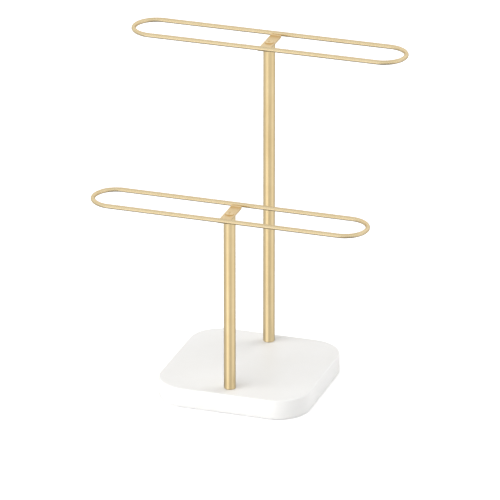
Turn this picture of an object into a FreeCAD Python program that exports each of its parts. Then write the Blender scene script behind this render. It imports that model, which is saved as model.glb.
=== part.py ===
# Two-tier sunglasses display stand: two wire rings, each on its own round post, over a rounded square base.
# Millimetres. +Z is up, +X runs along the rings, and -Y is the front, where the short post stands.
# The origin is on the table, under the middle of the stand.
import FreeCAD
import Part
import math
import os

# Base slab
base_side = 140.0
base_thickness = 18.0
base_corner_radius = 30.0
base_top_rounding = 1.2
base_bottom_chamfer = 0.8

# Rubber feet, glued into shallow recesses under the slab
foot_diameter = 14.0
foot_thickness = 2.0
foot_edge_rounding = 0.4
foot_recess_depth = 1.0
foot_recess_clearance = 0.2
foot_edge_inset = 24.0

# Posts, cut from round tube
post_diameter = 10.5
post_wall = 1.0
post_end_chamfer = 0.3
post_edge_inset = 15.0
front_post_length = 164.0
rear_post_length = 284.5

# Threaded inserts brazed into both ends of each post
foot_insert_length = 20.0
top_insert_length = 12.0
insert_chamfer = 0.5
brazing_gap = 0.02
thread_gap = 0.02

# Bolts that hold the posts down from under the slab
bolt_diameter = 5.0
bolt_length = 25.0
bolt_head_diameter = 9.5
bolt_head_height = 2.75
bolt_head_rounding = 1.2
bolt_socket_across_flats = 3.0
bolt_socket_depth = 1.6
bolt_tip_chamfer = 0.6
bolt_hole_clearance = 0.25
counterbore_diameter = 17.0
counterbore_depth = 7.0

# Washers under the bolt heads
washer_diameter = 15.0
washer_thickness = 1.2
washer_clearance = 0.15
lock_washer_diameter = 9.2
lock_washer_thickness = 1.2
lock_washer_clearance = 0.05
lock_washer_split = 0.8
lock_washer_split_angle = 35.0

# Wire rings, each bent into a long loop with half-round ends
ring_length = 255.0
ring_width = 44.0
wire_diameter = 4.0

# Flat straps that cross the rings and sit on the posts
strap_width = 10.0
strap_thickness = 2.0
strap_drop = 1.3
strap_end_gap = 2.0
strap_weld_leg = 1.0
strap_weld_relief = 0.3

# Thin-headed screws that clamp the straps to the posts
screw_diameter = 4.0
screw_length = 12.0
screw_head_diameter = 8.0
screw_head_height = 1.0
screw_head_rounding = 0.25
screw_tip_chamfer = 0.5
screw_cross_span = 3.6
screw_cross_width = 0.8
screw_cross_depth = 0.8
screw_cross_taper = 0.25
swivel_gap = 0.05
screw_hole_clearance = 0.15

# Heights and places that follow from the sizes above
base_bottom = foot_thickness - foot_recess_depth
base_top = base_bottom + base_thickness
half_base = base_side / 2
foot_offset = half_base - foot_edge_inset
post_offset = half_base - post_edge_inset
post_radius = post_diameter / 2
post_bore_radius = post_radius - post_wall
insert_radius = post_bore_radius - brazing_gap
bolt_radius = bolt_diameter / 2
screw_radius = screw_diameter / 2
wire_radius = wire_diameter / 2
wire_run_offset = ring_width / 2 - wire_radius
wire_bend_centre = ring_length / 2 - wire_radius - wire_run_offset
washer_top = base_bottom + counterbore_depth
lock_washer_top = washer_top - washer_thickness
bolt_head_top = lock_washer_top - lock_washer_thickness

# Edges closer than this to a height count as lying at it
same_height = 0.001
hexagon_sides = 6

UP = FreeCAD.Vector(0, 0, 1)
ALONG_RING = FreeCAD.Vector(1, 0, 0)


def point(x, y, z):
    return FreeCAD.Vector(x, y, z)


def rod(radius, bottom, top, x=0.0, y=0.0):
    return Part.makeCylinder(radius, top - bottom, point(x, y, bottom), UP)


def edges_at_height(solid, height):
    return [edge for edge in solid.Edges
            if max(abs(edge.BoundBox.ZMin - height), abs(edge.BoundBox.ZMax - height)) < same_height]


def rounded_prism(side, corner_radius, bottom, top):
    half = side / 2
    block = Part.makeBox(side, side, top - bottom, point(-half, -half, bottom))
    uprights = [edge for edge in block.Edges if edge.BoundBox.ZLength > 0.5 * (top - bottom)]
    return block.makeFillet(corner_radius, uprights)


def foot_places():
    return {
        "front_left_foot": (-foot_offset, -foot_offset),
        "front_right_foot": (foot_offset, -foot_offset),
        "rear_left_foot": (-foot_offset, foot_offset),
        "rear_right_foot": (foot_offset, foot_offset),
    }


def base_slab():
    slab = rounded_prism(base_side, base_corner_radius, base_bottom, base_top)
    slab = slab.makeFillet(base_top_rounding, edges_at_height(slab, base_top))
    slab = slab.makeChamfer(base_bottom_chamfer, edges_at_height(slab, base_bottom))
    recess_radius = foot_diameter / 2 + foot_recess_clearance
    for x, y in foot_places().values():
        slab = slab.cut(rod(recess_radius, base_bottom, base_bottom + foot_recess_depth, x, y))
    for y in (-post_offset, post_offset):
        slab = slab.cut(rod(bolt_radius + bolt_hole_clearance, base_bottom, base_top, 0, y))
        slab = slab.cut(rod(counterbore_diameter / 2, base_bottom, washer_top, 0, y))
    return slab


def rubber_foot(x, y):
    foot = rod(foot_diameter / 2, 0, foot_thickness, x, y)
    return foot.makeFillet(foot_edge_rounding, edges_at_height(foot, 0))


def post_tube(y, length):
    top = base_top + length
    tube = rod(post_radius, base_top, top, 0, y)
    rims = edges_at_height(tube, base_top) + edges_at_height(tube, top)
    tube = tube.makeChamfer(post_end_chamfer, rims)
    return tube.cut(rod(post_bore_radius, base_top, top, 0, y))


def threaded_insert(y, bottom, top, thread_radius):
    insert = rod(insert_radius, bottom, top, 0, y)
    insert = insert.cut(rod(thread_radius + thread_gap, bottom, top, 0, y))
    mouths = [edge for height in (bottom, top) for edge in edges_at_height(insert, height)
              if edge.BoundBox.XLength < insert_radius + thread_radius]
    return insert.makeChamfer(insert_chamfer, mouths)


def base_bolt(y):
    head_bottom = bolt_head_top - bolt_head_height
    head = rod(bolt_head_diameter / 2, head_bottom, bolt_head_top, 0, y)
    head = head.makeFillet(bolt_head_rounding, edges_at_height(head, head_bottom))
    corner_radius = bolt_socket_across_flats / math.sqrt(3)
    corners = []
    for side in range(hexagon_sides):
        turn = 2 * math.pi * side / hexagon_sides
        corners.append(point(corner_radius * math.cos(turn), y + corner_radius * math.sin(turn), head_bottom))
    socket = Part.Face(Part.makePolygon(corners + corners[:1])).extrude(UP * bolt_socket_depth)
    tip = bolt_head_top + bolt_length
    shank = rod(bolt_radius, bolt_head_top, tip, 0, y)
    shank = shank.makeChamfer(bolt_tip_chamfer, edges_at_height(shank, tip))
    return head.fuse(shank).cut(socket).removeSplitter()


def flat_washer(y):
    disc = rod(washer_diameter / 2, lock_washer_top, washer_top, 0, y)
    return disc.cut(rod(bolt_radius + washer_clearance, lock_washer_top, washer_top, 0, y))


def lock_washer(y):
    disc = rod(lock_washer_diameter / 2, bolt_head_top, lock_washer_top, 0, y)
    disc = disc.cut(rod(bolt_radius + lock_washer_clearance, bolt_head_top, lock_washer_top, 0, y))
    reach = lock_washer_diameter
    tall = 4 * lock_washer_thickness
    middle = (bolt_head_top + lock_washer_top) / 2
    corner = point(0, y - lock_washer_split / 2, middle - tall / 2)
    knife = Part.makeBox(reach, lock_washer_split, tall, corner)
    knife.rotate(point(0, y, middle), ALONG_RING, lock_washer_split_angle)
    return disc.cut(knife)


def wire_ring(y, height):
    near = y - wire_run_offset
    far = y + wire_run_offset
    bend = wire_bend_centre
    tip = bend + wire_run_offset
    path = Part.Wire([
        Part.makeLine(point(-bend, near, height), point(bend, near, height)),
        Part.Arc(point(bend, near, height), point(tip, y, height), point(bend, far, height)).toShape(),
        Part.makeLine(point(bend, far, height), point(-bend, far, height)),
        Part.Arc(point(-bend, far, height), point(-tip, y, height), point(-bend, near, height)).toShape(),
    ])
    section = Part.Wire([Part.makeCircle(wire_radius, point(-bend, near, height), ALONG_RING)])
    return path.makePipeShell([section], True, False)


def strap_end_profile(toward):
    """Corners of a strap's welded end, seen along X, from the centre of the wire it meets.

    Both weld beads rise at 45 degrees and end inside the wire, which is cut out of them later.
    toward is 1 for the wire on the +Y side and -1 for the other one.
    """
    inner = -(wire_radius + strap_weld_leg)
    lowest = -(strap_drop + strap_thickness) + strap_weld_relief
    under_rise = -lowest / 2
    corners = [
        (inner, -strap_drop),
        (inner + strap_drop, 0.0),
        (under_rise - strap_end_gap, lowest + under_rise),
        (-strap_end_gap, lowest),
        (inner, lowest),
    ]
    return [(toward * across, up) for across, up in corners]


def cross_strap(y, height):
    top = height - strap_drop
    bottom = top - strap_thickness
    reach = wire_run_offset - strap_end_gap
    strap = Part.makeBox(strap_width, 2 * reach, strap_thickness, point(-strap_width / 2, y - reach, bottom))
    for toward in (-1, 1):
        wire_y = y + toward * wire_run_offset
        corners = [point(-strap_width / 2, wire_y + across, height + up)
                   for across, up in strap_end_profile(toward)]
        weld = Part.Face(Part.makePolygon(corners + corners[:1])).extrude(ALONG_RING * strap_width)
        wire_end = point(-strap_width, wire_y, height)
        wire = Part.makeCylinder(wire_radius, 2 * strap_width, wire_end, ALONG_RING)
        strap = strap.fuse(weld).cut(wire)
    return strap.cut(rod(screw_radius + screw_hole_clearance, bottom, top, 0, y)).removeSplitter()


def ring_screw(y, strap_top):
    neck = strap_top + swivel_gap
    head_top = neck + screw_head_height
    tip = neck - screw_length
    head = rod(screw_head_diameter / 2, neck, head_top, 0, y)
    head = head.makeFillet(screw_head_rounding, edges_at_height(head, head_top))
    shank = rod(screw_radius, tip, neck, 0, y)
    shank = shank.makeChamfer(screw_tip_chamfer, edges_at_height(shank, tip))
    screw = head.fuse(shank)
    span = screw_cross_span / 2
    half_width = screw_cross_width / 2
    floor = head_top - screw_cross_depth
    for half_x, half_y in ((span, half_width), (half_width, span)):
        slot = Part.makeBox(2 * half_x, 2 * half_y, screw_cross_depth, point(-half_x, y - half_y, floor))
        slot = slot.makeChamfer(screw_cross_taper, edges_at_height(slot, floor))
        screw = screw.cut(slot)
    return screw.removeSplitter()


def post_pieces(post, ring, y, length):
    """One post with all that holds it to the base, and the ring that it carries."""
    post_top = base_top + length
    strap_bottom = post_top + swivel_gap
    strap_top = strap_bottom + strap_thickness
    ring_height = strap_top + strap_drop
    return {
        post + "_post_tube": post_tube(y, length),
        post + "_post_foot_insert": threaded_insert(y, base_top, base_top + foot_insert_length, bolt_radius),
        post + "_post_top_insert": threaded_insert(y, post_top - top_insert_length, post_top, screw_radius),
        post + "_post_bolt": base_bolt(y),
        post + "_post_washer": flat_washer(y),
        post + "_post_lock_washer": lock_washer(y),
        ring + "_ring_wire": wire_ring(y, ring_height),
        ring + "_ring_strap": cross_strap(y, ring_height),
        ring + "_ring_screw": ring_screw(y, strap_top),
    }


def all_pieces():
    pieces = {"base_slab": base_slab()}
    for name, (x, y) in foot_places().items():
        pieces[name] = rubber_foot(x, y)
    pieces.update(post_pieces("front", "lower", -post_offset, front_post_length))
    pieces.update(post_pieces("rear", "upper", post_offset, rear_post_length))
    return pieces


os.makedirs("parts", exist_ok=True)
for name, solid in all_pieces().items():
    solid.exportStep("parts/" + name + ".step")
    state = "valid" if solid.isValid() else "BROKEN"
    print(name, state, len(solid.Solids), "solid", round(solid.Volume, 1), "mm3")
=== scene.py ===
# Looks of a two-tier sunglasses display stand: satin champagne-gold posts, wire rings and straps
# over an off-white lacquered base. Metres, with +Z up and -Y the front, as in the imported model.
import bpy
import bmesh
import math
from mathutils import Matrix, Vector


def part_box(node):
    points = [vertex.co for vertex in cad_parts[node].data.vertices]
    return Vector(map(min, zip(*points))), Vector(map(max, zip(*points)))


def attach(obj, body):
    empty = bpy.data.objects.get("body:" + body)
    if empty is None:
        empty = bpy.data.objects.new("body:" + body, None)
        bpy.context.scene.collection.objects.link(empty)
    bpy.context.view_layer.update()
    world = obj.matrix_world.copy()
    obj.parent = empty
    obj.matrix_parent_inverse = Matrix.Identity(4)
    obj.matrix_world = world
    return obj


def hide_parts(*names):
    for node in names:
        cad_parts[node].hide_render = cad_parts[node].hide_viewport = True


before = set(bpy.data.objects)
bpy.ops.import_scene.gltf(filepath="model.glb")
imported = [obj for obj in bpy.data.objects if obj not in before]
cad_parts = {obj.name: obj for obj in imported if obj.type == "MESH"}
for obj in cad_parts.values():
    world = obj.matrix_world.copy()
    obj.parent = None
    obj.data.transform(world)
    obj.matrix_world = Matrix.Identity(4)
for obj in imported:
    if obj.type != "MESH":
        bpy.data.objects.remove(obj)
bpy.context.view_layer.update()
bpy.ops.object.select_all(action="DESELECT")

MM = 0.001
SAME_PLACE = 0.02 * MM

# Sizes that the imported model's boxes don't give
BASE_CORNER_RADIUS = 30 * MM
BASE_TOP_ROUNDING = 1.2 * MM
BASE_BOTTOM_CHAMFER = 0.8 * MM
FOOT_RECESS_DEPTH = 1.0 * MM
FOOT_RECESS_CLEARANCE = 0.2 * MM
COUNTERBORE_RADIUS = 8.5 * MM
BOLT_HOLE_RADIUS = 2.75 * MM
TUBE_WALL = 1.0 * MM
TUBE_TOP_ROUNDING = 0.3 * MM
TUBE_FOOT_ROUNDING = 0.7 * MM
STRAP_EDGE_ROUNDING = 0.3 * MM
STRAP_THICKNESS = 2.0 * MM
SCREW_HOLE_RADIUS = 2.15 * MM
SCREW_HEAD_HEIGHT = 1.0 * MM
SCREW_HEAD_ROUNDING = 0.25 * MM
SCREW_SHANK_RADIUS = 2.0 * MM
CROSS_SPAN = 3.6 * MM
CROSS_WIDTH = 0.8 * MM
CROSS_DEPTH = 0.8 * MM
CROSS_FLOOR_SHARE = 0.4
WIRE_SIDES = 32
WELD_RADIUS = 0.9 * MM
WELD_RIPPLES = 15
WELD_ABOVE = 0.15 * MM
WELD_UNDER = 0.95 * MM

# Colours of the gold plate: polished, where it is worn deeper, and towards the edge of a round
TUBE_GOLD = (0.88, 0.70, 0.395, 1.0), (0.84, 0.65, 0.34, 1.0)
WIRE_GOLD = (0.84, 0.69, 0.435, 1.0), (0.80, 0.64, 0.378, 1.0)
STRAP_GOLD = (0.905, 0.73, 0.46, 1.0), (0.865, 0.68, 0.40, 1.0)
EDGE_GOLD = (0.80, 0.74, 0.62, 1.0)
TUBE_EDGE_GOLD = (0.40, 0.37, 0.31, 1.0)

# The studio. Azimuths are in degrees from the front towards the right, elevations up from the level.
# The metal mirrors the low glow from straight below, then the level, the high and the ceiling's glow,
# one turning into the next between two heights: -1 is straight down, 0 level and 1 straight up
LOOK_AT = Vector((0.44, 0, 129.06)) * MM
CAMERA_AZIMUTH = 18.46
CAMERA_ELEVATION = 22.77
CAMERA_DISTANCE = 5.30675
CAMERA_LENS = 432
CAMERA_SENSOR = 36
AIR_GLOW = 0.53
DARK_SIDE = 52
DARK_SIDE_DEPTH = 0.68
DARK_SIDE_SHARPNESS = 4.0
FLOOR_LIFT = 0.3
LOW_GLOW = 0.15
LEVEL_GLOW = 0.70
HIGH_GLOW = 1.02
CEILING_GLOW = 0.75
LOW_TO_LEVEL = -1.0, -0.5
LEVEL_TO_HIGH = -0.32, 0.387
HIGH_TO_CEILING = 0.5, 1.0
WALL_FADES_IN = -0.95, -0.5
WALL_FADES_OUT = -0.36, -0.06
WALL_SHARPNESS = 11.0
WALL_TOP_SHARE = 0.08
BRIGHT_WALLS = ((-22, 0.90), (86, 0.46))

POSTS = {"front": "lower", "rear": "upper"}
RACK_BODY = {"lower": "lower_rack", "upper": "upper_rack"}


def middle(low, high):
    return (low + high) / 2


# Modelling by hand: each function does one step of the work on the active piece


def edit(piece, kind="FACE"):
    """Opens a piece in edit mode with nothing selected."""
    bpy.ops.object.select_all(action="DESELECT")
    piece.select_set(True)
    bpy.context.view_layer.objects.active = piece
    bpy.ops.object.mode_set(mode="EDIT")
    bpy.ops.mesh.select_mode(type=kind)
    bpy.ops.mesh.select_all(action="DESELECT")


def leave_edit():
    bpy.ops.object.mode_set(mode="OBJECT")


def pick(piece, kind, wanted):
    """Selects the faces, edges or verts of the piece in edit mode that pass the test, and no others."""
    mesh = bmesh.from_edit_mesh(piece.data)
    bpy.ops.mesh.select_all(action="DESELECT")
    for item in getattr(mesh, kind):
        if wanted(item):
            item.select_set(True)
    bmesh.update_edit_mesh(piece.data)


def at_height(z):
    """A test for edges and faces that lie flat at one height."""
    return lambda item: all(abs(vert.co.z - z) < SAME_PLACE for vert in item.verts)


def apply_modifier(piece, kind, **settings):
    bpy.context.view_layer.objects.active = piece
    modifier = piece.modifiers.new(kind.title(), kind)
    for name, value in settings.items():
        setattr(modifier, name, value)
    bpy.ops.object.modifier_apply(modifier=modifier.name)


def cut_away(piece, cutter):
    """Takes the cutter's shape out of the piece and removes the cutter."""
    apply_modifier(piece, "BOOLEAN", operation="DIFFERENCE", solver="EXACT", object=cutter)
    bpy.data.objects.remove(cutter)


def join_on(piece, part):
    """Makes the part one with the piece where they meet, and removes the part."""
    apply_modifier(piece, "BOOLEAN", operation="UNION", solver="EXACT", object=part)
    bpy.data.objects.remove(part)


def settle(piece, smooth_angle=35):
    """Puts the piece's place into its mesh and shades its rounded surfaces smooth."""
    bpy.ops.object.select_all(action="DESELECT")
    piece.select_set(True)
    bpy.context.view_layer.objects.active = piece
    bpy.ops.object.transform_apply(location=True, rotation=True, scale=True)
    bpy.ops.object.shade_smooth_by_angle(angle=math.radians(smooth_angle))
    return piece


def block(low, high):
    bpy.ops.mesh.primitive_cube_add(size=1, location=middle(low, high), scale=high - low)
    bpy.ops.object.transform_apply(location=True, rotation=True, scale=True)
    return bpy.context.active_object


def disc(radius, bottom, top, x, y, sides=64, fill="NGON"):
    bpy.ops.mesh.primitive_cylinder_add(vertices=sides, radius=radius, depth=top - bottom,
                                        location=(x, y, (bottom + top) / 2), end_fill_type=fill)
    bpy.ops.object.transform_apply(location=True, rotation=True, scale=True)
    return bpy.context.active_object


def hand_over(piece, name, body, slot, finish, *nodes):
    """Names a finished piece, gives it its material, and lets it ride and stand for its CAD nodes."""
    piece.name = name
    piece.data.name = name
    piece.data.materials.clear()
    piece.data.materials.append(finish)
    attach(piece, body)
    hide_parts(*nodes)
    return piece


# Base


def lacquered_slab():
    low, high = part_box("base_slab")
    slab = block(low, high)
    edit(slab, "EDGE")
    pick(slab, "edges", lambda edge: abs(edge.verts[0].co.z - edge.verts[1].co.z) > SAME_PLACE)
    bpy.ops.mesh.bevel(offset=BASE_CORNER_RADIUS, segments=32, affect="EDGES")
    pick(slab, "edges", at_height(high.z))
    bpy.ops.mesh.bevel(offset=BASE_TOP_ROUNDING, segments=6, affect="EDGES")
    pick(slab, "edges", at_height(low.z))
    bpy.ops.mesh.bevel(offset=BASE_BOTTOM_CHAMFER, segments=2, affect="EDGES")
    leave_edit()
    for corner in ("front_left", "front_right", "rear_left", "rear_right"):
        foot_low, foot_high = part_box(corner + "_foot")
        foot = middle(foot_low, foot_high)
        recess = (foot_high.x - foot_low.x) / 2 + FOOT_RECESS_CLEARANCE
        cut_away(slab, disc(recess, low.z - MM, low.z + FOOT_RECESS_DEPTH, foot.x, foot.y))
    for post in POSTS:
        washer_low, washer_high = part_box(post + "_post_washer")
        bolt = middle(washer_low, washer_high)
        cut_away(slab, disc(COUNTERBORE_RADIUS, low.z - MM, washer_high.z, bolt.x, bolt.y))
        cut_away(slab, disc(BOLT_HOLE_RADIUS, low.z - MM, high.z + MM, bolt.x, bolt.y))
    return settle(slab, 30)


# Posts


def post_tube(post):
    low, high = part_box(post + "_post_tube")
    centre = middle(low, high)
    radius = (high.x - low.x) / 2
    tube = disc(radius, low.z, high.z, centre.x, centre.y, sides=96, fill="NOTHING")
    apply_modifier(tube, "SOLIDIFY", thickness=TUBE_WALL, offset=-1)
    edit(tube, "EDGE")
    outer = lambda edge: all(abs((vert.co - centre).xy.length - radius) < SAME_PLACE for vert in edge.verts)
    for end, rounding in ((low.z, TUBE_FOOT_ROUNDING), (high.z, TUBE_TOP_ROUNDING)):
        pick(tube, "edges", lambda edge: outer(edge) and at_height(end)(edge))
        bpy.ops.mesh.bevel(offset=rounding, segments=4, affect="EDGES")
    leave_edit()
    return settle(tube)


# Rings


def draw_straight(wire, centre, bend_x, bend_radius):
    """Keeps on each point of a ring where it lay before the wire was bent: along the wire, out and up."""
    straight = wire.data.attributes.new("drawn_wire", "FLOAT_VECTOR", "POINT")
    for vert, place in zip(wire.data.vertices, straight.data):
        offset = vert.co - centre
        side = math.copysign(1, offset.x)
        past_bend = max(abs(offset.x) - bend_x, 0)
        from_axis = Vector((past_bend, offset.y)).length
        turned = math.atan2(past_bend, -offset.y)
        along = side * (min(abs(offset.x), bend_x) + turned * bend_radius)
        if abs(offset.x) < bend_x and offset.y > 0:
            along = side * (2 * bend_x + math.pi * bend_radius - abs(offset.x))
        place.vector = (along, from_axis - bend_radius, offset.z)


def wire_ring(ring):
    low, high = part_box(ring + "_ring_wire")
    centre = middle(low, high)
    wire_radius = (high.z - low.z) / 2
    bend_radius = (high.y - low.y) / 2 - wire_radius
    bend_x = (high.x - low.x) / 2 - wire_radius - bend_radius
    run_steps = 24
    bpy.ops.mesh.primitive_circle_add(vertices=WIRE_SIDES, radius=wire_radius, fill_type="NOTHING",
                                      location=(centre.x - bend_x, centre.y - bend_radius, centre.z),
                                      rotation=(0, math.pi / 2, 0))
    wire = bpy.context.active_object
    bpy.ops.object.transform_apply(location=True, rotation=True, scale=True)
    edit(wire, "VERT")
    bpy.ops.mesh.select_all(action="SELECT")
    for end in (1, -1):
        for _ in range(run_steps):
            step = end * 2 * bend_x / run_steps
            bpy.ops.mesh.extrude_region_move(TRANSFORM_OT_translate={"value": (step, 0, 0)})
        bend = (centre.x + end * bend_x, centre.y, centre.z)
        bpy.ops.mesh.spin(steps=40, angle=-math.pi, center=bend, axis=(0, 0, 1))
    bpy.ops.mesh.select_all(action="SELECT")
    bpy.ops.mesh.remove_doubles(threshold=SAME_PLACE)
    bpy.ops.mesh.normals_make_consistent(inside=False)
    leave_edit()
    draw_straight(wire, centre, bend_x, bend_radius)
    return settle(wire, 60)


def weld_bead(left, right, y, z):
    """A rippled bead of weld along X, drawn out ring by ring from a small end disc."""
    steps = 4 * WELD_RIPPLES
    half = (right - left) / 2
    bpy.ops.mesh.primitive_circle_add(vertices=16, radius=WELD_RADIUS, fill_type="NGON",
                                      location=(left, y, z), rotation=(0, math.pi / 2, 0))
    bead = bpy.context.active_object
    bpy.ops.object.transform_apply(location=True, rotation=True, scale=True)
    edit(bead, "FACE")
    bpy.ops.mesh.select_all(action="SELECT")
    widths = []
    for step in range(steps + 1):
        along = 2 * step / steps - 1
        from_end = min(1.0, (1 - abs(along)) * half / WELD_RADIUS + 0.12)
        rounding = math.sqrt(1 - (1 - from_end) ** 2)
        ripple = 1 + 0.05 * math.cos(2 * math.pi * WELD_RIPPLES * step / steps)
        widths.append(rounding * ripple)
    bpy.ops.transform.resize(value=(1, widths[0], widths[0]), center_override=(left, y, z))
    for before, width in zip(widths, widths[1:]):
        bpy.ops.mesh.extrude_region_move(TRANSFORM_OT_translate={"value": (2 * half / steps, 0, 0)})
        bpy.ops.transform.resize(value=(1, width / before, width / before), center_override=(left, y, z))
    bpy.ops.mesh.select_all(action="SELECT")
    bpy.ops.mesh.normals_make_consistent(inside=False)
    leave_edit()
    return bead


def cross_strap(ring):
    low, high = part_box(ring + "_ring_strap")
    wire_low, wire_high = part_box(ring + "_ring_wire")
    wire = middle(wire_low, wire_high)
    wire_radius = (wire_high.z - wire_low.z) / 2
    run = (wire_high.y - wire_low.y) / 2 - wire_radius
    top = low.z + STRAP_THICKNESS
    reach = run - wire_radius
    strap = block(Vector((low.x, wire.y - reach, low.z)), Vector((high.x, wire.y + reach, top)))
    edit(strap, "EDGE")
    pick(strap, "edges", lambda edge: abs(edge.verts[0].co.y - edge.verts[1].co.y) > SAME_PLACE)
    bpy.ops.mesh.bevel(offset=STRAP_EDGE_ROUNDING, segments=3, affect="EDGES")
    leave_edit()
    cut_away(strap, disc(SCREW_HOLE_RADIUS, low.z - MM, top + MM, wire.x, wire.y))
    for toward in (-1, 1):
        seam = wire.y + toward * reach
        for height in (top + WELD_ABOVE, low.z + WELD_UNDER):
            join_on(strap, weld_bead(low.x, high.x, seam, height))
    return settle(strap, 40)


# Screws


def ring_screw(ring):
    low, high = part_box(ring + "_ring_screw")
    centre = middle(low, high)
    neck = high.z - SCREW_HEAD_HEIGHT
    head = disc((high.x - low.x) / 2, neck, high.z, centre.x, centre.y)
    edit(head, "FACE")
    pick(head, "faces", at_height(neck))
    bpy.ops.mesh.inset(thickness=(high.x - low.x) / 2 - SCREW_SHANK_RADIUS, depth=0)
    bpy.ops.mesh.extrude_region_move(TRANSFORM_OT_translate={"value": (0, 0, low.z - neck)})
    pick(head, "edges", at_height(high.z))
    bpy.ops.mesh.bevel(offset=SCREW_HEAD_ROUNDING, segments=3, affect="EDGES")
    leave_edit()
    for length, width in ((CROSS_SPAN, CROSS_WIDTH), (CROSS_WIDTH, CROSS_SPAN)):
        half = Vector((length / 2, width / 2, 0))
        floor = Vector((centre.x, centre.y, high.z - CROSS_DEPTH))
        slot = block(floor - half, floor + half + Vector((0, 0, CROSS_DEPTH)))
        edit(slot, "FACE")
        pick(slot, "faces", at_height(floor.z))
        narrowed = CROSS_WIDTH * (1 - CROSS_FLOOR_SHARE)
        bpy.ops.transform.resize(value=(1 - narrowed / length, 1 - narrowed / width, 1), center_override=floor)
        pick(slot, "faces", at_height(high.z))
        bpy.ops.mesh.extrude_region_move(TRANSFORM_OT_translate={"value": (0, 0, MM)})
        leave_edit()
        cut_away(head, slot)
    return settle(head)


# Materials


class Signal:
    """A value inside a material. Arithmetic on signals adds the material's Math nodes."""

    def __init__(self, finish, socket):
        self.finish = finish
        self.socket = socket

    def _math(self, operation, first, second=0.0):
        return self.finish.node("ShaderNodeMath", {"operation": operation}, {0: first, 1: second})

    def __add__(self, other):
        return self._math("ADD", self, other)

    def __radd__(self, other):
        return self._math("ADD", other, self)

    def __sub__(self, other):
        return self._math("SUBTRACT", self, other)

    def __rsub__(self, other):
        return self._math("SUBTRACT", other, self)

    def __mul__(self, other):
        return self._math("MULTIPLY", self, other)

    def __rmul__(self, other):
        return self._math("MULTIPLY", other, self)

    def __lt__(self, other):
        return self._math("LESS_THAN", self, other)

    def __gt__(self, other):
        return self._math("GREATER_THAN", self, other)


class Nodes:
    """The nodes of a material or of the world. Each method adds one and gives back its signal."""

    def __init__(self, tree):
        self.tree = tree

    def node(self, kind, settings=None, inputs=None, output=0):
        made = self.tree.nodes.new(kind)
        for name, value in (settings or {}).items():
            if name == "stops":
                self._set_stops(made.color_ramp, value)
            else:
                setattr(made, name, value)
        for socket, value in (inputs or {}).items():
            if isinstance(value, Signal):
                self.tree.links.new(value.socket, made.inputs[socket])
            else:
                made.inputs[socket].default_value = value
        return Signal(self, made.outputs[output])

    def _set_stops(self, ramp, stops):
        while len(ramp.elements) < len(stops):
            ramp.elements.new(1.0)
        for element, (position, colour) in zip(ramp.elements, stops):
            element.position = position
            element.color = colour

    def axes(self, vector):
        parts = self.node("ShaderNodeSeparateXYZ", None, {0: vector}, output="X")
        return parts, *[Signal(self, parts.socket.node.outputs[axis]) for axis in "YZ"]

    def noise(self, vector, scale, stretch=(1, 1, 1), detail=4.0, roughness=0.55):
        """Noise of about scale waves per metre, drawn out along the axes with a small stretch."""
        placed = self.node("ShaderNodeMapping", None, {"Vector": vector, "Scale": stretch})
        inputs = {"Vector": placed, "Scale": scale, "Detail": detail, "Roughness": roughness}
        return self.node("ShaderNodeTexNoise", None, inputs)

    def between(self, signal, low, high, to_low=0.0, to_high=1.0):
        """Moves the values from low..high to to_low..to_high, and holds them there."""
        inputs = {"Value": signal, "From Min": low, "From Max": high, "To Min": to_low, "To Max": to_high}
        return self.node("ShaderNodeMapRange", {"clamp": True}, inputs)

    def tint(self, share, first, second):
        """A colour that goes from first to second as share goes from 0 to 1."""
        return self.node("ShaderNodeMix", {"data_type": "RGBA"}, {0: share, 6: first, 7: second}, output=2)


class Finish(Nodes):
    """One material. Constants go straight to the shader's own sockets."""

    def __init__(self, name, **constants):
        self.material = bpy.data.materials.new(name)
        self.material.use_nodes = True
        super().__init__(self.material.node_tree)
        self.shader = self.tree.nodes["Principled BSDF"]
        for socket, value in constants.items():
            self.shader.inputs[socket.replace("_", " ")].default_value = value

    def feed(self, socket, signal):
        self.tree.links.new(signal.socket, self.shader.inputs[socket])

    def place(self):
        """Where the surface is, in the model's frame."""
        return self.node("ShaderNodeTexCoord", output="Object")

    def kept(self, name):
        """A vector that each point of the piece keeps under a name."""
        return self.node("ShaderNodeAttribute", {"attribute_name": name}, output="Vector")

    def bump(self, height, strength, distance):
        inputs = {"Height": height, "Strength": strength, "Distance": distance}
        self.feed("Normal", self.node("ShaderNodeBump", None, inputs))


def colour(red, green, blue):
    return (red, green, blue, 1.0)


def plated_gold(name, golds, grain, roughness, straight=None, edge=EDGE_GOLD, coat=0.2):
    """Satin champagne-gold plate under a thin lacquer. grain draws the polishing marks out along an axis,
    and straight names the attribute with each point's place before the wire was bent."""
    polished, deeper = golds
    finish = Finish(name, Metallic=1.0, Specular_Tint=edge, Coat_Roughness=0.25, Coat_Weight=coat)
    place = finish.place() if straight is None else finish.kept(straight)
    cloud = finish.noise(place, 90, detail=3)
    marks = finish.noise(place, 5200, stretch=grain, detail=5, roughness=0.65)
    speck = finish.noise(place, 2600, detail=3)
    share = finish.between(cloud * 0.55 + marks * 0.45, 0.38, 0.64)
    finish.feed("Base Color", finish.tint(share, deeper, polished))
    wear = finish.between(marks * 0.6 + speck * 0.4, 0.3, 0.7, roughness - 0.05, roughness + 0.05)
    finish.feed("Roughness", wear)
    finish.bump(marks + speck * 0.3, 0.12, 0.02 * MM)
    return finish.material


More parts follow.
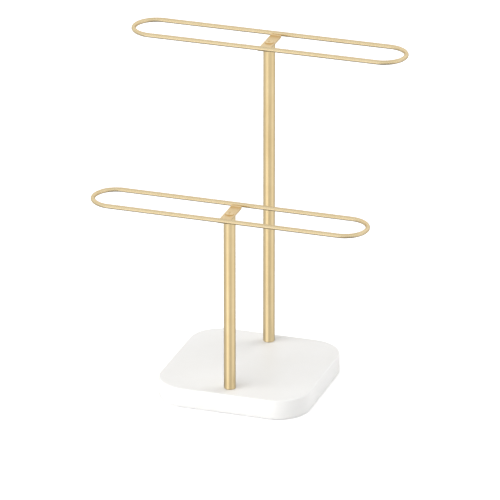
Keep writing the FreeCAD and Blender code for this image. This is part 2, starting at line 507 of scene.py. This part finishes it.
def satin_lacquer():
    """Off-white satin lacquer with a faint orange peel, over fibreboard that is bare in the counterbores."""
    finish = Finish("white_satin_lacquer", Specular_IOR_Level=0.35)
    place = finish.place()
    peel = finish.noise(place, 420, detail=2)
    cloud = finish.noise(place, 22, detail=3)
    dust = finish.noise(place, 3000, detail=2)
    share = finish.between(cloud, 0.35, 0.65)
    white = finish.tint(share, colour(0.828, 0.822, 0.805), colour(0.846, 0.842, 0.83))
    fibres = finish.noise(place, 1600, stretch=(1, 1, 0.4), detail=6, roughness=0.7)
    board = finish.tint(finish.between(fibres, 0.3, 0.7), colour(0.30, 0.19, 0.10), colour(0.46, 0.32, 0.19))
    x, y, z = finish.axes(place)
    low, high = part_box("base_slab")
    bare = None
    for post in POSTS:
        washer_low, washer_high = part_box(post + "_post_washer")
        bolt = middle(washer_low, washer_high)
        away_x = x - bolt.x
        away_y = y - bolt.y
        inside = (away_x * away_x + away_y * away_y) < (COUNTERBORE_RADIUS + 2 * SAME_PLACE) ** 2
        bare = inside if bare is None else bare + inside
    bare = bare * (z < high.z - MM) * (z > low.z + SAME_PLACE)
    finish.feed("Base Color", finish.tint(bare, white, board))
    finish.feed("Roughness", finish.between(cloud * 0.5 + dust * 0.5, 0.35, 0.65, 0.36, 0.40) + bare * 0.5)
    finish.bump(peel + dust * 0.06 + fibres * bare * 3.0, 0.10, 0.05 * MM)
    return finish.material


def zinc_plate():
    finish = Finish("bright_zinc_plate", Metallic=1.0)
    place = finish.place()
    spangle = finish.noise(place, 900, detail=4)
    turned = finish.noise(place, 4500, stretch=(1, 1, 0.1), detail=3)
    share = finish.between(spangle, 0.35, 0.65)
    finish.feed("Base Color", finish.tint(share, colour(0.52, 0.54, 0.56), colour(0.68, 0.69, 0.70)))
    finish.feed("Roughness", finish.between(turned, 0.3, 0.7, 0.26, 0.42))
    finish.bump(turned, 0.15, 0.02 * MM)
    return finish.material


def turned_brass():
    finish = Finish("turned_brass", Metallic=1.0)
    place = finish.place()
    rings = finish.noise(place, 300, stretch=(0.1, 0.1, 12), detail=4)
    stain = finish.noise(place, 700, detail=4)
    share = finish.between(stain, 0.35, 0.65)
    finish.feed("Base Color", finish.tint(share, colour(0.52, 0.36, 0.13), colour(0.70, 0.52, 0.24)))
    finish.feed("Roughness", finish.between(rings, 0.3, 0.7, 0.22, 0.4))
    finish.bump(rings, 0.2, 0.03 * MM)
    return finish.material


def silicone_rubber():
    finish = Finish("pale_silicone_rubber", Specular_IOR_Level=0.4)
    place = finish.place()
    grain = finish.noise(place, 2200, detail=4)
    cloud = finish.noise(place, 250, detail=2)
    share = finish.between(cloud, 0.35, 0.65)
    finish.feed("Base Color", finish.tint(share, colour(0.50, 0.50, 0.49), colour(0.60, 0.60, 0.59)))
    finish.feed("Roughness", finish.between(grain, 0.3, 0.7, 0.62, 0.8))
    finish.bump(grain, 0.3, 0.04 * MM)
    return finish.material


gold_tube = plated_gold("gold_plated_tube", TUBE_GOLD, grain=(1, 1, 0.02), roughness=0.34,
                        edge=TUBE_EDGE_GOLD, coat=0.7)
gold_wire = plated_gold("gold_plated_wire", WIRE_GOLD, grain=(0.03, 1, 1), roughness=0.26,
                        straight="drawn_wire")
gold_strap = plated_gold("gold_plated_strap", STRAP_GOLD, grain=(1, 0.03, 1), roughness=0.38)
gold_screw = plated_gold("gold_plated_screw", STRAP_GOLD, grain=(1, 1, 1), roughness=0.30)

base = hand_over(lacquered_slab(), "lacquered_base", "stand", "white_base", satin_lacquer(), "base_slab")
base.visible_glossy = False  # as on the floor, so that the studio's walls show in the posts down to their feet
for post, ring in POSTS.items():
    tube_node = post + "_post_tube"
    hand_over(post_tube(post), post + "_gold_post", "stand", "gold_tube", gold_tube, tube_node)
    body = RACK_BODY[ring]
    hand_over(wire_ring(ring), ring + "_gold_wire", body, "gold_wire", gold_wire, ring + "_ring_wire")
    hand_over(cross_strap(ring), ring + "_gold_strap", body, "gold_strap", gold_strap, ring + "_ring_strap")
    hand_over(ring_screw(ring), ring + "_gold_screw", "stand", "gold_screw", gold_screw, ring + "_ring_screw")

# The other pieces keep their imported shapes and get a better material
carried_over = {"_bolt": zinc_plate(), "_insert": turned_brass(), "_foot": silicone_rubber()}
carried_over["_washer"] = carried_over["_bolt"]
for node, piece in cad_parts.items():
    for ending, finish in carried_over.items():
        if node.endswith(ending):
            piece.material_slots[0].material = finish


# Floor, light and camera


def plain_floor():
    bpy.ops.mesh.primitive_plane_add(size=60, location=(0, 0, 0))
    floor = bpy.context.active_object
    floor.name = "pale_floor"
    finish = Finish("pale_floor", Roughness=0.9, Specular_IOR_Level=0.1)
    finish.shader.inputs["Base Color"].default_value = colour(0.93, 0.93, 0.93)
    seen = finish.node("ShaderNodeLightPath", output="Is Camera Ray")
    finish.shader.inputs["Emission Color"].default_value = colour(1, 1, 1)
    finish.feed("Emission Strength", seen * FLOOR_LIFT)
    floor.data.materials.append(finish.material)
    floor.visible_glossy = False


def horizontal(azimuth):
    """The level direction at an azimuth, which is 0 at the front and grows towards the right."""
    turn = math.radians(azimuth)
    return Vector((math.sin(turn), -math.cos(turn), 0))


def soft_light(name, azimuth, elevation, softness, strength):
    """A wide, far light, as even over the floor as a studio's ceiling. Softness is its width in degrees."""
    rise = math.radians(elevation)
    toward = horizontal(azimuth) * math.cos(rise) + Vector((0, 0, math.sin(rise)))
    light = bpy.data.lights.new(name, "SUN")
    light.angle = math.radians(softness)
    light.energy = strength
    lamp = bpy.data.objects.new(name, light)
    lamp.rotation_mode = "QUATERNION"
    lamp.rotation_quaternion = toward.to_track_quat("Z", "Y")
    lamp.visible_glossy = False
    bpy.context.scene.collection.objects.link(lamp)


def studio_air():
    """The white studio around the stand: an even glow, and soft bright walls that show in the metal only."""
    world = bpy.data.worlds.new("studio_air")
    bpy.context.scene.world = world
    world.use_nodes = True
    air = Nodes(world.node_tree)
    direction = air.node("ShaderNodeTexCoord", output="Generated")
    level = air.node("ShaderNodeVectorMath", {"operation": "MULTIPLY"}, {0: direction, 1: (1, 1, 0)})
    level = air.node("ShaderNodeVectorMath", {"operation": "NORMALIZE"}, {0: level})
    _, _, height = air.axes(direction)
    mirrored = air.between(height, *LOW_TO_LEVEL, LOW_GLOW, LEVEL_GLOW)
    mirrored = mirrored + air.between(height, *LEVEL_TO_HIGH, 0.0, HIGH_GLOW - LEVEL_GLOW)
    mirrored = mirrored - air.between(height, *HIGH_TO_CEILING, 0.0, HIGH_GLOW - CEILING_GLOW)
    fading_out = air.between(height, *WALL_FADES_OUT, 1.0, WALL_TOP_SHARE)
    wall_share = fading_out * air.between(height, *WALL_FADES_IN)

    def toward(azimuth, sharpness):
        facing = air.node("ShaderNodeVectorMath", {"operation": "DOT_PRODUCT"},
                          {0: level, 1: horizontal(azimuth)}, output="Value")
        facing = air.node("ShaderNodeMath", {"operation": "MAXIMUM"}, {0: facing, 1: 0.0})
        return air.node("ShaderNodeMath", {"operation": "POWER"}, {0: facing, 1: sharpness})

    for azimuth, strength in BRIGHT_WALLS:
        mirrored = mirrored + toward(azimuth, WALL_SHARPNESS) * strength * wall_share
    even = AIR_GLOW * (1 - toward(DARK_SIDE, DARK_SIDE_SHARPNESS) * DARK_SIDE_DEPTH)
    glossy = air.node("ShaderNodeLightPath", output="Is Glossy Ray")
    seen = air.node("ShaderNodeLightPath", output="Is Camera Ray")
    strength = even + glossy * (mirrored - even) + seen * (1.0 - even)
    backdrop = air.tree.nodes["Background"]
    backdrop.inputs["Color"].default_value = colour(1, 1, 1)
    air.tree.links.new(strength.socket, backdrop.inputs["Strength"])


def camera():
    """A long lens at the photograph's angle, fitted to the outlines of the base, posts and rings."""
    rise = math.radians(CAMERA_ELEVATION)
    back = horizontal(CAMERA_AZIMUTH) * math.cos(rise) + Vector((0, 0, math.sin(rise)))
    data = bpy.data.cameras.new("camera")
    data.lens = CAMERA_LENS
    data.sensor_width = CAMERA_SENSOR
    eye = bpy.data.objects.new("camera", data)
    eye.rotation_mode = "QUATERNION"
    eye.rotation_quaternion = back.to_track_quat("Z", "Y")
    eye.location = LOOK_AT + back * CAMERA_DISTANCE
    bpy.context.scene.collection.objects.link(eye)
    bpy.context.scene.camera = eye


plain_floor()
studio_air()
soft_light("key", azimuth=-29, elevation=30, softness=72, strength=2.62)
soft_light("fill", azimuth=135, elevation=17, softness=54, strength=2.12)
camera()
bpy.context.scene.view_settings.view_transform = "Standard"
